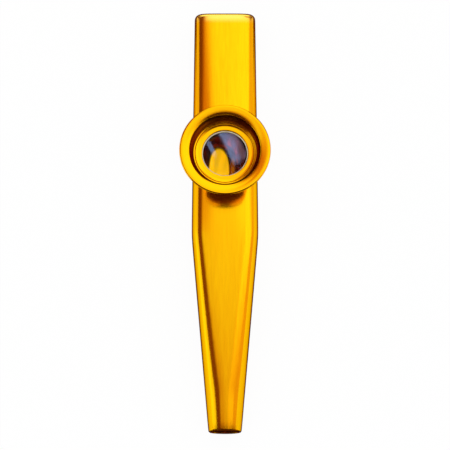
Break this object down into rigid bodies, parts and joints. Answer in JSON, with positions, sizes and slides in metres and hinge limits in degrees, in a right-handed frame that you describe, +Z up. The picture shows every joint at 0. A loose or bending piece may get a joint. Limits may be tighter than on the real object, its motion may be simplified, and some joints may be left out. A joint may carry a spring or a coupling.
{
  "type": "kazoo",
  "caption": "Tapered metal kazoo with a flat mouth end, a round tail, and a film under a flared screw cap on a threaded turret.",
  "frame": {"origin": "middle of the body's length and width, on the surface that its flat base lies on", "axes": "+Y towards the wide mouth end, +Z up out of the turret, +X to the right seen from the tail"},
  "size_m": [0.0254, 0.12, 0.0228],
  "materials": {
    "brushed_gold": "gold anodised, brushed along its length",
    "spun_gold": "gold anodised, turned and polished",
    "ring_plastic": "smooth cream plastic",
    "clear_film": "clear stretched plastic film"
  },
  "bodies": {
    "body": {"upper_shell": "brushed_gold", "lower_shell": "brushed_gold", "threaded_collar": "spun_gold"},
    "membrane": {"membrane_ring": "ring_plastic", "membrane": "clear_film"},
    "screw_cap": {"screw_cap": "spun_gold"}
  },
  "joints": [
    {"name": "cap_lift", "type": "slide", "parent": "body", "child": "membrane", "axis": [0, 0, 1], "range_m": [0, 0.00401]},
    {"name": "cap_turn", "type": "hinge", "parent": "membrane", "child": "screw_cap", "pos_m": [0, 0.0172, 0.0171], "axis": [0, 0, 1], "range_deg": [0, 1440]}
  ],
  "couplings": [
    {"joint": "cap_lift", "follows": "cap_turn", "m_per_rad": 0.00015915}
  ]
}
